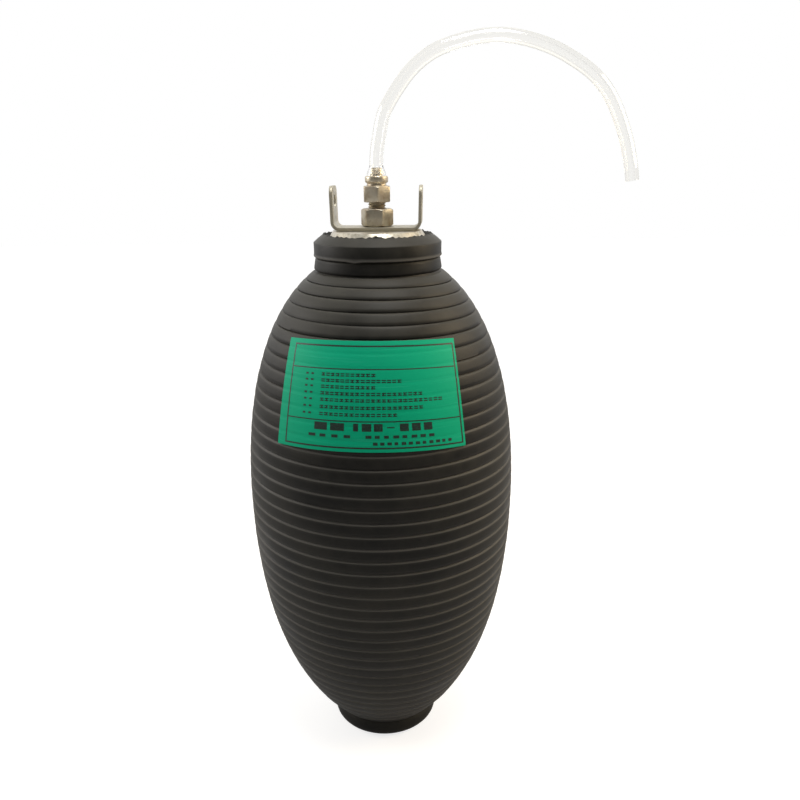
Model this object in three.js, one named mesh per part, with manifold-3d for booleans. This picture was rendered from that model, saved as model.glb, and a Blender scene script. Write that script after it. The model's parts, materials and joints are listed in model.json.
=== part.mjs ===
// Inflatable pipe plug, shown inflated: a ribbed rubber bladder that stands on its foot, with a
// steel end plate, a lifting bracket and an air fitting clamped in its mouth, and a clear hose.
// Millimetres, +Z up. The origin is the centre of the foot's underside; the label faces -Y.

import * as THREE from 'three';
import { mergeVertices, toCreasedNormals } from 'three/addons/utils/BufferGeometryUtils.js';
import Module from 'manifold-3d';

const wasm = await Module();
wasm.setup();

// Running and seating clearances
const SEAT_GAP = 0.3;
const BORE_CLEARANCE = 0.3;

// Bladder body: the largest radius is at the equator
const BODY_RADIUS = 99;
const EQUATOR_HEIGHT = 207;
const WALL = 7;
const SHOULDER_HEIGHT = 368;
const SHOULDER_SLOPE = 36.6;
const SHOULDER_REACH = 58.4;
const UPPER_FULLNESS = 45.3;
const WAIST_RADIUS = 42;
const WAIST_SLOPE = 45.4;
const WAIST_REACH = 62.8;
const LOWER_FULLNESS = 71.8;

// Wound rubber strip: one shallow groove where each turn meets the next
const STRIP_WIDTH = 9.3;
const STRIP_GROOVE_WIDTH = 1.8;
const STRIP_GROOVE_DEPTH = 0.9;

// Foot
const FOOT_RADIUS = 41.3;
const FOOT_HEIGHT = 13;
const FOOT_EDGE = 7.3;
const FOOT_CREASE_WIDTH = 3;
const FOOT_CREASE_DEPTH = 1.6;
const FLOOR_THICKNESS = 16;

// Neck band and collar ring round the mouth, with a rounded crown and a recess for the end plate
const COLLAR_RADIUS = 45;
const NECK_WALL = 8;
const COLLAR_GROOVE_WIDTH = 2.4;
const COLLAR_GROOVE_DEPTH = 1.2;
const LOWER_BAND_HEIGHT = 9;
const UPPER_BAND_HEIGHT = 9.5;
const CROWN_HEIGHT = 6;
const CROWN_WIDTH = 6.8;
const RIM_WIDTH = 2.4;
const RECESS_DEPTH = 3.2;
const MOUTH_RADIUS = 12;

// Steel plates inside and outside the mouth
const END_PLATE_RADIUS = 31.4;
const END_PLATE_THICKNESS = 5.4;
const END_PLATE_CHAMFER = 0.6;
const INNER_FLANGE_RADIUS = 28;
const INNER_FLANGE_THICKNESS = 4;
const GASKET_RADIUS = 14;
const GASKET_THICKNESS = 2;

// Lifting bracket: flat bar bent to a U, with an eye near the end of each leg
const BRACKET_SPAN = 62.6;
const BRACKET_WIDTH = 25;
const BRACKET_THICKNESS = 2.2;
const BRACKET_BEND_RADIUS = 4;
const BRACKET_HEIGHT = 30;
const BRACKET_SPLAY = 1.2;
const BRACKET_CORNER_RADIUS = 6;
const EYE_RADIUS = 4.25;
const EYE_FROM_TIP = 10.6;
const BRACKET_TURN = -5;

// Inlet stem, hollow for the air
const STEM_RADIUS = 6.2;
const AIR_BORE_RADIUS = 2.2;
const STEM_HEAD_RADIUS = 11;
const STEM_HEAD_HEIGHT = 5;
const STEM_CHAMFER = 0.8;
const EXPOSED_THREAD = 4.2;
const NIPPLE_THREAD_DEPTH = 5;

// Lock nut, the lower hexagon
const LOCK_NUT_FLATS = 20;
const LOCK_NUT_HEIGHT = 12;
const LOCK_NUT_TURN = 19;

// Hose nipple: hexagon, neck, collar and barb turned in one piece
const NIPPLE_FLATS = 18;
const NIPPLE_HEX_HEIGHT = 11;
const NIPPLE_TURN = 2;
const NIPPLE_NECK_RADIUS = 6.8;
const NIPPLE_NECK_HEIGHT = 1.8;
const NIPPLE_COLLAR_RADIUS = 8;
const NIPPLE_COLLAR_HEIGHT = 4.7;
const NIPPLE_COLLAR_EDGE = 1.2;
const BARB_RADIUS = 5.2;
const BARB_ROOT_RADIUS = 4.3;
const BARB_TIP_RADIUS = 3.5;
const BARB_LENGTH = 5.4;
const NIPPLE_SEAL_THICKNESS = 1.2;

// Hose
const HOSE_RADIUS = 4.7;
const HOSE_CUFF_WALL = 1.25;
const HOSE_CUFF_OVERRUN = 0.8;
const HOSE_SIDES = 10;
const HOSE_STEPS = 22;

// Label: a thin sheet, stretched wider towards the equator, that follows the body
const LABEL_THICKNESS = 0.5;
const LABEL_HEIGHT = 70.8;
const LABEL_FROM_SHOULDER = 47;
const LABEL_TOP_WIDTH = 118;
const LABEL_BOTTOM_WIDTH = 135;
const LABEL_CORNER_DROP = 2.6;
const LABEL_AZIMUTH = -5.2;

const RING_SEGMENTS = 24;
const SMALL_SEGMENTS = 20;
const CREASE_ANGLE = THREE.MathUtils.degToRad(32);
const WELD_TOLERANCE = 1e-4;

// Levels of the foot and of the stack in the mouth
const WAIST_HEIGHT = FOOT_HEIGHT + FOOT_CREASE_WIDTH;
const NECK_GROOVE_HEIGHT = SHOULDER_HEIGHT + LOWER_BAND_HEIGHT;
const RING_UNDERSIDE = NECK_GROOVE_HEIGHT + SEAT_GAP;
const CROWN_START = NECK_GROOVE_HEIGHT + UPPER_BAND_HEIGHT;
const RIM_HEIGHT = CROWN_START + CROWN_HEIGHT;
const RIM_RADIUS = COLLAR_RADIUS - CROWN_WIDTH;
const RECESS_FLOOR = RIM_HEIGHT - RECESS_DEPTH;
const END_PLATE_BASE = RECESS_FLOOR + SEAT_GAP;
const BRACKET_BASE = END_PLATE_BASE + END_PLATE_THICKNESS + SEAT_GAP;
const LOCK_NUT_BASE = BRACKET_BASE + BRACKET_THICKNESS + SEAT_GAP;
const NIPPLE_BASE = LOCK_NUT_BASE + LOCK_NUT_HEIGHT + EXPOSED_THREAD;
const STEM_TOP = NIPPLE_BASE + NIPPLE_THREAD_DEPTH;
const NIPPLE_SEAL_BASE = STEM_TOP + SEAT_GAP;
const SOCKET_END = NIPPLE_SEAL_BASE + NIPPLE_SEAL_THICKNESS + SEAT_GAP;
const NECK_BASE = NIPPLE_BASE + NIPPLE_HEX_HEIGHT;
const COLLAR_BASE = NECK_BASE + NIPPLE_NECK_HEIGHT;
const BARB_BASE = COLLAR_BASE + NIPPLE_COLLAR_HEIGHT;
const INNER_FLANGE_BASE = RING_UNDERSIDE - SEAT_GAP - INNER_FLANGE_THICKNESS;
const GASKET_BASE = INNER_FLANGE_BASE - SEAT_GAP - GASKET_THICKNESS;
const STEM_BASE = GASKET_BASE - SEAT_GAP - STEM_HEAD_HEIGHT;
const STEM_HOLE_RADIUS = STEM_RADIUS + BORE_CLEARANCE;
const CUFF_BASE = BARB_BASE + SEAT_GAP;
const CUFF_LENGTH = BARB_LENGTH + HOSE_CUFF_OVERRUN;

// The hose's centre line above its cuff, as (distance to the right, height): up, over to the right
// and down to the cut end
const HOSE_ROUTE = [
  [0, 0], [0.2, 6], [0.9, 12], [2, 18.1], [3.5, 26], [5.9, 34.4], [13.9, 47.8], [25.4, 62.1],
  [39.5, 72.5], [55, 78.2], [71.7, 81.5], [85.8, 81.9], [100, 79.9], [117.2, 74.6], [131.8, 67.4],
  [146.7, 57.4], [157.6, 45.4], [166, 30.4], [172.3, 13.9], [176.7, -3], [178.1, -11.5],
];

const radians = THREE.MathUtils.degToRad;

function point(radius, height) {
  return new THREE.Vector2(radius, height);
}

// Shared vertices are joined and the slivers at a turned solid's axis are left out
function weld(geometry) {
  const bare = new THREE.BufferGeometry();
  bare.setAttribute('position', geometry.getAttribute('position').clone());
  bare.setIndex(geometry.getIndex());
  const merged = mergeVertices(bare, WELD_TOLERANCE);
  const corners = merged.getIndex().array;
  const kept = [];
  for (let i = 0; i < corners.length; i += 3) {
    const [a, b, c] = corners.slice(i, i + 3);
    if (a !== b && b !== c && c !== a) {
      kept.push(a, b, c);
    }
  }
  merged.setIndex(kept);
  return merged;
}

function toSolid(geometry) {
  const welded = weld(geometry);
  return new wasm.Manifold(new wasm.Mesh({
    numProp: 3,
    vertProperties: new Float32Array(welded.getAttribute('position').array),
    triVerts: new Uint32Array(welded.getIndex().array),
  }));
}

function toGeometry(solid) {
  const mesh = solid.getMesh();
  const geometry = new THREE.BufferGeometry();
  geometry.setAttribute('position', new THREE.BufferAttribute(new Float32Array(mesh.vertProperties), 3));
  geometry.setIndex(Array.from(mesh.triVerts));
  return geometry;
}

function joined(first, second) {
  return toGeometry(toSolid(first).add(toSolid(second)));
}

function cut(body, tool) {
  return toGeometry(toSolid(body).subtract(toSolid(tool)));
}

function common(first, second) {
  return toGeometry(toSolid(first).intersect(toSolid(second)));
}

// A profile of (radius, height) points turned about the Z axis
function turned(profile, segments = SMALL_SEGMENTS) {
  return new THREE.LatheGeometry(profile, segments).rotateX(Math.PI / 2);
}

function ring(innerRadius, outerRadius, base, height, segments = SMALL_SEGMENTS) {
  return turned([
    point(innerRadius, base),
    point(outerRadius, base),
    point(outerRadius, base + height),
    point(innerRadius, base + height),
    point(innerRadius, base),
  ], segments);
}

function upright(radius, base, height, segments = SMALL_SEGMENTS) {
  const rod = new THREE.CylinderGeometry(radius, radius, height, segments);
  return rod.rotateX(Math.PI / 2).translate(0, 0, base + height / 2);
}

// The body's outline without grooves, from the waist over the foot up to the shoulder
function bodyOutline() {
  const waistHandle = point(Math.cos(radians(WAIST_SLOPE)), Math.sin(radians(WAIST_SLOPE)));
  const shoulderHandle = point(Math.cos(radians(SHOULDER_SLOPE)), -Math.sin(radians(SHOULDER_SLOPE)));
  const waist = point(WAIST_RADIUS, WAIST_HEIGHT);
  const equator = point(BODY_RADIUS, EQUATOR_HEIGHT);
  const shoulder = point(COLLAR_RADIUS, SHOULDER_HEIGHT);
  const outline = new THREE.CurvePath();
  outline.add(new THREE.CubicBezierCurve(
    waist,
    waist.clone().addScaledVector(waistHandle, WAIST_REACH),
    equator.clone().add(point(0, -LOWER_FULLNESS)),
    equator,
  ));
  outline.add(new THREE.CubicBezierCurve(
    equator,
    equator.clone().add(point(0, UPPER_FULLNESS)),
    shoulder.clone().addScaledVector(shoulderHandle, SHOULDER_REACH),
    shoulder,
  ));
  return outline;
}

const OUTLINE = bodyOutline();
const OUTLINE_LENGTH = OUTLINE.getLength();

// A point at a length along the outline, moved inwards by depth
function onOutline(along, depth = 0) {
  const probe = 0.5;
  const place = THREE.MathUtils.clamp(along, 0, OUTLINE_LENGTH);
  const before = OUTLINE.getPoint(Math.max(place - probe, 0) / OUTLINE_LENGTH);
  const after = OUTLINE.getPoint(Math.min(place + probe, OUTLINE_LENGTH) / OUTLINE_LENGTH);
  const run = after.sub(before).normalize();
  const spot = OUTLINE.getPoint(place / OUTLINE_LENGTH);
  return point(spot.x - run.y * depth, spot.y + run.x * depth);
}

// The length along the outline at a height
function lengthAtHeight(height) {
  let low = 0;
  let high = OUTLINE_LENGTH;
  for (let step = 0; step < 40; step += 1) {
    const middle = (low + high) / 2;
    if (onOutline(middle).y < height) {
      low = middle;
    } else {
      high = middle;
    }
  }
  return low;
}

function roundedCorner(centre, radius, startAngle, endAngle, steps) {
  const corner = [];
  for (let i = 0; i <= steps; i += 1) {
    const angle = radians(startAngle + (endAngle - startAngle) * i / steps);
    corner.push(point(centre.x + radius * Math.cos(angle), centre.y + radius * Math.sin(angle)));
  }
  return corner;
}

function footProfile() {
  const edge = point(FOOT_RADIUS - FOOT_EDGE, FOOT_EDGE);
  return [
    point(0, 0),
    ...roundedCorner(edge, FOOT_EDGE, -90, 0, 4),
    point(FOOT_RADIUS, FOOT_HEIGHT),
    point(WAIST_RADIUS - FOOT_CREASE_DEPTH, FOOT_HEIGHT + FOOT_CREASE_WIDTH / 2),
  ];
}

function woundProfile() {
  const turns = Math.round(OUTLINE_LENGTH / STRIP_WIDTH);
  const pitch = OUTLINE_LENGTH / turns;
  const half = STRIP_GROOVE_WIDTH / 2;
  const profile = [onOutline(0)];
  for (let turn = 1; turn < turns; turn += 1) {
    const seam = turn * pitch;
    profile.push(onOutline(seam - half), onOutline(seam, STRIP_GROOVE_DEPTH), onOutline(seam + half));
  }
  profile.push(onOutline(OUTLINE_LENGTH - half));
  return profile;
}

// The neck above the shoulder, and the bladder's open top edge
function neckProfile() {
  const half = COLLAR_GROOVE_WIDTH / 2;
  const grooveRadius = COLLAR_RADIUS - COLLAR_GROOVE_DEPTH;
  return [
    point(grooveRadius, SHOULDER_HEIGHT),
    point(COLLAR_RADIUS, SHOULDER_HEIGHT + half),
    point(COLLAR_RADIUS, NECK_GROOVE_HEIGHT - half),
    point(grooveRadius, NECK_GROOVE_HEIGHT),
    point(COLLAR_RADIUS - NECK_WALL, NECK_GROOVE_HEIGHT),
  ];
}

// The chamber's wall, from under the neck down to the floor over the foot
function chamberProfile() {
  const start = lengthAtHeight(SHOULDER_HEIGHT - WALL);
  const rings = 12;
  const wall = [];
  for (let i = 0; i <= rings; i += 1) {
    wall.push(onOutline(start * (1 - i / rings), WALL));
  }
  const sill = wall[0].y;
  const inside = wall.filter((spot) => spot.y > FLOOR_THICKNESS);
  return [
    point(COLLAR_RADIUS - NECK_WALL, Math.max(sill, SHOULDER_HEIGHT - WALL / 2)),
    ...inside,
    point(WAIST_RADIUS / 2, FLOOR_THICKNESS),
    point(0, FLOOR_THICKNESS),
  ];
}

function bladderGeometry() {
  const profile = [...footProfile(), ...woundProfile(), ...neckProfile(), ...chamberProfile()];
  return turned(profile, RING_SEGMENTS);
}

function collarGeometry() {
  const half = COLLAR_GROOVE_WIDTH / 2;
  const crown = [];
  const crownSteps = 4;
  for (let i = 0; i <= crownSteps; i += 1) {
    const angle = radians(90 * i / crownSteps);
    crown.push(point(RIM_RADIUS + CROWN_WIDTH * Math.cos(angle), CROWN_START + CROWN_HEIGHT * Math.sin(angle)));
  }
  return turned([
    point(MOUTH_RADIUS, RING_UNDERSIDE),
    point(COLLAR_RADIUS - COLLAR_GROOVE_DEPTH, RING_UNDERSIDE),
    point(COLLAR_RADIUS, RING_UNDERSIDE + half),
    ...crown,
    point(RIM_RADIUS - RIM_WIDTH, RECESS_FLOOR),
    point(MOUTH_RADIUS, RECESS_FLOOR),
    point(MOUTH_RADIUS, RING_UNDERSIDE),
  ], RING_SEGMENTS);
}

function endPlateGeometry() {
  const top = END_PLATE_BASE + END_PLATE_THICKNESS;
  return turned([
    point(STEM_HOLE_RADIUS, END_PLATE_BASE),
    point(END_PLATE_RADIUS, END_PLATE_BASE),
    point(END_PLATE_RADIUS, top - END_PLATE_CHAMFER),
    point(END_PLATE_RADIUS - END_PLATE_CHAMFER, top),
    point(STEM_HOLE_RADIUS, top),
    point(STEM_HOLE_RADIUS, END_PLATE_BASE),
  ], RING_SEGMENTS);
}

// The bar's side outline, with both legs bent up and leaning out a little
function bracketOutline() {
  const outer = BRACKET_BEND_RADIUS + BRACKET_THICKNESS;
  const inner = BRACKET_BEND_RADIUS;
  const bendX = BRACKET_SPAN / 2 - outer;
  const splay = radians(BRACKET_SPLAY);
  const rise = BRACKET_HEIGHT - outer + outer * Math.sin(splay);
  const lean = rise * Math.tan(splay);
  const shape = new THREE.Shape();
  shape.moveTo(-bendX, 0);
  shape.lineTo(bendX, 0);
  shape.absarc(bendX, outer, outer, -Math.PI / 2, -splay, false);
  shape.lineTo(bendX + outer * Math.cos(splay) + lean, BRACKET_HEIGHT);
  shape.lineTo(bendX + inner * Math.cos(splay) + lean, BRACKET_HEIGHT);
  shape.absarc(bendX, outer, inner, -splay, -Math.PI / 2, true);
  shape.lineTo(-bendX, BRACKET_THICKNESS);
  shape.absarc(-bendX, outer, inner, -Math.PI / 2, -Math.PI + splay, true);
  shape.lineTo(-bendX - inner * Math.cos(splay) - lean, BRACKET_HEIGHT);
  shape.lineTo(-bendX - outer * Math.cos(splay) - lean, BRACKET_HEIGHT);
  shape.absarc(-bendX, outer, outer, Math.PI + splay, 3 * Math.PI / 2, false);
  return shape;
}

// What the legs look like from the end of the bracket: straight sides and rounded upper corners
function legOutline() {
  const half = BRACKET_WIDTH / 2;
  const corner = BRACKET_CORNER_RADIUS;
  const below = 1;
  const shape = new THREE.Shape();
  shape.moveTo(-half, -below);
  shape.lineTo(half, -below);
  shape.lineTo(half, BRACKET_HEIGHT - corner);
  shape.absarc(half - corner, BRACKET_HEIGHT - corner, corner, 0, Math.PI / 2, false);
  shape.lineTo(-half + corner, BRACKET_HEIGHT);
  shape.absarc(-half + corner, BRACKET_HEIGHT - corner, corner, Math.PI / 2, Math.PI, false);
  return shape;
}

function bracketGeometry() {
  const overhang = 5;
  const span = BRACKET_SPAN + 2 * overhang;
  const bent = new THREE.ExtrudeGeometry(bracketOutline(), {
    depth: BRACKET_WIDTH, bevelEnabled: false, curveSegments: 5,
  });
  bent.rotateX(Math.PI / 2).translate(0, BRACKET_WIDTH / 2, 0);
  const legs = new THREE.ExtrudeGeometry(legOutline(), { depth: span, bevelEnabled: false, curveSegments: 5 });
  legs.rotateX(Math.PI / 2).rotateZ(Math.PI / 2).translate(-span / 2, 0, 0);
  const eyes = new THREE.CylinderGeometry(EYE_RADIUS, EYE_RADIUS, span, SMALL_SEGMENTS);
  eyes.rotateZ(Math.PI / 2).translate(0, 0, BRACKET_HEIGHT - EYE_FROM_TIP);
  const hole = upright(STEM_HOLE_RADIUS, -1, BRACKET_THICKNESS + 2);
  return cut(cut(common(bent, legs), eyes), hole);
}

function stemGeometry() {
  return turned([
    point(AIR_BORE_RADIUS, STEM_BASE),
    point(STEM_HEAD_RADIUS - STEM_CHAMFER, STEM_BASE),
    point(STEM_HEAD_RADIUS, STEM_BASE + STEM_CHAMFER),
    point(STEM_HEAD_RADIUS, STEM_BASE + STEM_HEAD_HEIGHT),
    point(STEM_RADIUS, STEM_BASE + STEM_HEAD_HEIGHT),
    point(STEM_RADIUS, STEM_TOP - STEM_CHAMFER),
    point(STEM_RADIUS - STEM_CHAMFER, STEM_TOP),
    point(AIR_BORE_RADIUS, STEM_TOP),
    point(AIR_BORE_RADIUS, STEM_BASE),
  ]);
}

// A hexagon whose corners are chamfered at both ends, one corner facing -Y before it is turned
function hexagon(flats, base, height, turn) {
  const corner = flats / Math.sqrt(3);
  const face = flats * 0.48;
  const outer = corner + 0.5;
  const chamfer = (outer - face) * Math.tan(radians(30));
  const prism = new THREE.CylinderGeometry(corner, corner, height, 6);
  prism.rotateX(Math.PI / 2).rotateZ(radians(turn)).translate(0, 0, base + height / 2);
  const blank = turned([
    point(0, base),
    point(face, base),
    point(outer, base + chamfer),
    point(outer, base + height - chamfer),
    point(face, base + height),
    point(0, base + height),
  ], 30);
  return common(prism, blank);
}

function lockNutGeometry() {
  const body = hexagon(LOCK_NUT_FLATS, LOCK_NUT_BASE, LOCK_NUT_HEIGHT, LOCK_NUT_TURN);
  return cut(body, upright(STEM_HOLE_RADIUS, LOCK_NUT_BASE - 1, LOCK_NUT_HEIGHT + 2));
}

// The barb's outside as (radius, height above the collar): two saw teeth and a round tip
function barbSteps() {
  const middle = (BARB_RADIUS + BARB_TIP_RADIUS) / 2;
  return [
    [BARB_ROOT_RADIUS, 0],
    [BARB_ROOT_RADIUS, BARB_LENGTH * 0.18],
    [BARB_RADIUS, BARB_LENGTH * 0.22],
    [middle - 0.3, BARB_LENGTH * 0.55],
    [middle + 0.2, BARB_LENGTH * 0.6],
    [BARB_TIP_RADIUS, BARB_LENGTH],
  ];
}

function nippleGeometry() {
  const hexBody = hexagon(NIPPLE_FLATS, NIPPLE_BASE, NIPPLE_HEX_HEIGHT, NIPPLE_TURN);
  const shank = turned([
    point(0, NECK_BASE - 1),
    point(NIPPLE_NECK_RADIUS, NECK_BASE - 1),
    point(NIPPLE_NECK_RADIUS, COLLAR_BASE),
    point(NIPPLE_COLLAR_RADIUS - NIPPLE_COLLAR_EDGE, COLLAR_BASE),
    point(NIPPLE_COLLAR_RADIUS, COLLAR_BASE + NIPPLE_COLLAR_EDGE),
    point(NIPPLE_COLLAR_RADIUS, BARB_BASE - NIPPLE_COLLAR_EDGE),
    point(NIPPLE_COLLAR_RADIUS - NIPPLE_COLLAR_EDGE, BARB_BASE),
    ...barbSteps().map(([radius, height]) => point(radius, BARB_BASE + height)),
    point(0, BARB_BASE + BARB_LENGTH),
  ]);
  const socket = upright(STEM_HOLE_RADIUS, NIPPLE_BASE - 1, SOCKET_END - NIPPLE_BASE + 1);
  const bore = upright(AIR_BORE_RADIUS, SOCKET_END - 1, BARB_BASE + BARB_LENGTH - SOCKET_END + 2, 16);
  return cut(cut(joined(hexBody, shank), socket), bore);
}

// The hose's end, stretched over the barb, closed above the barb where the plain run starts
function cuffGeometry() {
  const inside = barbSteps().map(([radius, height]) => (
    point(radius + BORE_CLEARANCE, Math.max(BARB_BASE + height, CUFF_BASE))
  ));
  const barbTop = BARB_BASE + BARB_LENGTH + BORE_CLEARANCE;
  const top = CUFF_BASE + CUFF_LENGTH + 1;
  inside[0].x = BARB_RADIUS + BORE_CLEARANCE;
  inside[1].x = BARB_RADIUS + BORE_CLEARANCE;
  return turned([
    point(0, barbTop),
    point(BARB_TIP_RADIUS + BORE_CLEARANCE, barbTop),
    ...inside.slice(1).reverse(),
    inside[0],
    point(BARB_RADIUS + BORE_CLEARANCE + HOSE_CUFF_WALL, CUFF_BASE),
    point(BARB_RADIUS + BORE_CLEARANCE + HOSE_CUFF_WALL - 0.1, CUFF_BASE + BARB_LENGTH * 0.3),
    point((BARB_RADIUS + HOSE_RADIUS) / 2 + 0.5, CUFF_BASE + BARB_LENGTH * 0.75),
    point(HOSE_RADIUS, CUFF_BASE + CUFF_LENGTH),
    point(HOSE_RADIUS, top),
    point(0, top),
  ]);
}

function hoseGeometry() {
  const start = CUFF_BASE + CUFF_LENGTH;
  const route = HOSE_ROUTE.map(([across, up]) => new THREE.Vector3(across, 0, start + up));
  const section = new THREE.Shape();
  section.absarc(0, 0, HOSE_RADIUS, 0, 2 * Math.PI, false);
  const run = new THREE.ExtrudeGeometry(section, {
    curveSegments: HOSE_SIDES / 2, steps: HOSE_STEPS, bevelEnabled: false,
    extrudePath: new THREE.CatmullRomCurve3(route),
  });
  return joined(cuffGeometry(), run);
}

// The flat sheet bent round the front of the body: u across, v up, both from -0.5 to 0.5
function labelGeometry() {
  const columns = 12;
  const rows = 6;
  const top = OUTLINE_LENGTH - LABEL_FROM_SHOULDER;
  const sheet = new THREE.BoxGeometry(1, 1, LABEL_THICKNESS, columns, rows, 1);
  const spots = sheet.getAttribute('position');
  for (let i = 0; i < spots.count; i += 1) {
    const across = spots.getX(i);
    const up = spots.getY(i) + 0.5;
    const lift = SEAT_GAP + LABEL_THICKNESS / 2 + spots.getZ(i);
    const width = THREE.MathUtils.lerp(LABEL_BOTTOM_WIDTH, LABEL_TOP_WIDTH, up);
    const along = top - LABEL_HEIGHT * (1 - up) - LABEL_CORNER_DROP * (2 * across) ** 2;
    const place = onOutline(along, -lift);
    const angle = radians(LABEL_AZIMUTH) + across * width / onOutline(along).x;
    spots.setXYZ(i, place.x * Math.sin(angle), -place.x * Math.cos(angle), place.y);
  }
  return sheet;
}

const FINISHES = {
  rubber: { color: 0x2d2a28, roughness: 0.55, metalness: 0 },
  steel: { color: 0xb5b0a2, roughness: 0.38, metalness: 0.9 },
  nickel: { color: 0xa79c88, roughness: 0.32, metalness: 0.9 },
  seal: { color: 0x1c1b1a, roughness: 0.7, metalness: 0 },
  hose: { color: 0xe9edee, roughness: 0.2, metalness: 0, transparent: true, opacity: 0.45 },
  label: { color: 0x14a07a, roughness: 0.5, metalness: 0 },
};

const group = new THREE.Group();

function addPiece(name, geometry, finish) {
  const material = new THREE.MeshStandardMaterial(FINISHES[finish]);
  const mesh = new THREE.Mesh(toCreasedNormals(weld(geometry), CREASE_ANGLE), material);
  mesh.name = name;
  group.add(mesh);
  return mesh;
}

addPiece('bladder', bladderGeometry(), 'rubber');
addPiece('collar', collarGeometry(), 'rubber');
addPiece('end_plate', endPlateGeometry(), 'steel');
addPiece('inner_flange',
  ring(STEM_HOLE_RADIUS, INNER_FLANGE_RADIUS, INNER_FLANGE_BASE, INNER_FLANGE_THICKNESS), 'steel');
addPiece('stem_seal',
  ring(STEM_HOLE_RADIUS, MOUTH_RADIUS - SEAT_GAP, RING_UNDERSIDE, RECESS_FLOOR - RING_UNDERSIDE), 'seal');
addPiece('flange_gasket', ring(STEM_HOLE_RADIUS, GASKET_RADIUS, GASKET_BASE, GASKET_THICKNESS), 'seal');
addPiece('inlet_stem', stemGeometry(), 'nickel');
addPiece('lock_nut', lockNutGeometry(), 'nickel');
addPiece('nipple_seal',
  ring(AIR_BORE_RADIUS + BORE_CLEARANCE, STEM_RADIUS, NIPPLE_SEAL_BASE, NIPPLE_SEAL_THICKNESS), 'seal');
addPiece('hose_nipple', nippleGeometry(), 'nickel');
addPiece('hose', hoseGeometry(), 'hose');
addPiece('label', labelGeometry(), 'label');

const bracket = addPiece('lifting_bracket', bracketGeometry(), 'steel');
bracket.position.z = BRACKET_BASE;
bracket.rotation.z = radians(BRACKET_TURN);

export default group;
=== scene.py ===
"""Looks of an inflatable pipe plug: wound rubber bladder, steel bracket, air fitting, clear hose.

Sizes are in millimetres and meshes in metres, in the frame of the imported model: +Z up, the origin
at the centre of the foot's underside and the label facing -Y. An azimuth is an angle in degrees
round the axis from -Y towards +X.
"""

import json
import logging
import math
import random
from collections.abc import Iterable, Sequence
from dataclasses import dataclass, field
from enum import Enum

import bmesh
import bpy
from mathutils import Matrix, Vector

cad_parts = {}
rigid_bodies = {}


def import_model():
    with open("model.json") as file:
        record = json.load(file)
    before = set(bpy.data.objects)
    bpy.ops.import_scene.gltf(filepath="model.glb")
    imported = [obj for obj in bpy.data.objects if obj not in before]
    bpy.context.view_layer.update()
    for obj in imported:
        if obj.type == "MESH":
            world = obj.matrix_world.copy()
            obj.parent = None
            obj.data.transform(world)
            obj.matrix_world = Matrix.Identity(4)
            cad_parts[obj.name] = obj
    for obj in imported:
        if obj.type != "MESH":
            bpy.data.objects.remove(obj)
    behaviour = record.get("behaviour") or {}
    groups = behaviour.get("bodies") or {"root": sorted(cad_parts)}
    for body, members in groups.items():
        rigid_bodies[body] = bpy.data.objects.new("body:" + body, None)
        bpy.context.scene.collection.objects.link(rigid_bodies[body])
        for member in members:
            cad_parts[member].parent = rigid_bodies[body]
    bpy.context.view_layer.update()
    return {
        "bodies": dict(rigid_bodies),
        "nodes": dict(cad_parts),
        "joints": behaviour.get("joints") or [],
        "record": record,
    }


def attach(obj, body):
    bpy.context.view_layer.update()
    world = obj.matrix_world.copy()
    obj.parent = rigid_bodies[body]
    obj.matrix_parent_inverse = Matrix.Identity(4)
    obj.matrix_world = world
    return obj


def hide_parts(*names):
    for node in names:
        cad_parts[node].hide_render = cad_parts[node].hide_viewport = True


log = logging.getLogger("pipe_plug")

MM = 0.001

Colour = tuple[float, float, float, float]
Ring = list[Vector]
Spot = tuple[float, float]
Tree = bpy.types.NodeTree
Socket = bpy.types.NodeSocket
Shaders = tuple[bpy.types.Node, ...]


class Slot(Enum):
    """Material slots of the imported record."""

    RUBBER = "rubber"
    STEEL = "steel"
    NICKEL = "nickel"
    HOSE = "hose"
    LABEL = "label"


def linear(hex_colour: str) -> Colour:
    """Turns an sRGB colour into the linear values that shaders use.

    Args:
        hex_colour: Colour as #rrggbb.

    Returns:
        Linear red, green and blue, and an alpha of 1.
    """
    values = [int(hex_colour[i:i + 2], 16) / 255 for i in (1, 3, 5)]
    red, green, blue = (v / 12.92 if v <= 0.04045 else ((v + 0.055) / 1.055) ** 2.4 for v in values)
    return red, green, blue, 1.0


def add_node(
    tree: Tree,
    kind: str,
    settings: dict[str | int, object] | None = None,
    links: dict[str | int, Socket] | None = None,
) -> bpy.types.Node:
    """Adds one node to a tree with its settings and its incoming links.

    Args:
        tree: Node tree of a material or a world.
        kind: Blender's name for the node's type.
        settings: Values by input name or number, or by the node's own property.
        links: Outputs of other nodes by the input that each one feeds.

    Returns:
        The new node.
    """
    node = tree.nodes.new(kind)
    for name, value in (settings or {}).items():
        if isinstance(name, str) and hasattr(node, name):
            setattr(node, name, value)
    for name, value in (settings or {}).items():
        if isinstance(name, int) or not hasattr(node, name):
            node.inputs[name].default_value = value
    for name, source in (links or {}).items():
        tree.links.new(source, node.inputs[name])
    return node


def noise(
    tree: Tree, coordinates: Socket, scale: float, detail: float = 2.0, roughness: float = 0.5,
) -> Socket:
    """Adds a noise texture.

    Args:
        tree: Node tree of a material.
        coordinates: Where on the piece the noise is taken.
        scale: Grains for each unit of the coordinates.
        detail: Number of finer layers.
        roughness: Strength of each finer layer against the one before.

    Returns:
        The noise's value, from 0 to 1.
    """
    settings = {"Scale": scale, "Detail": detail, "Roughness": roughness}
    return add_node(tree, "ShaderNodeTexNoise", settings, {"Vector": coordinates}).outputs["Fac"]


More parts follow.
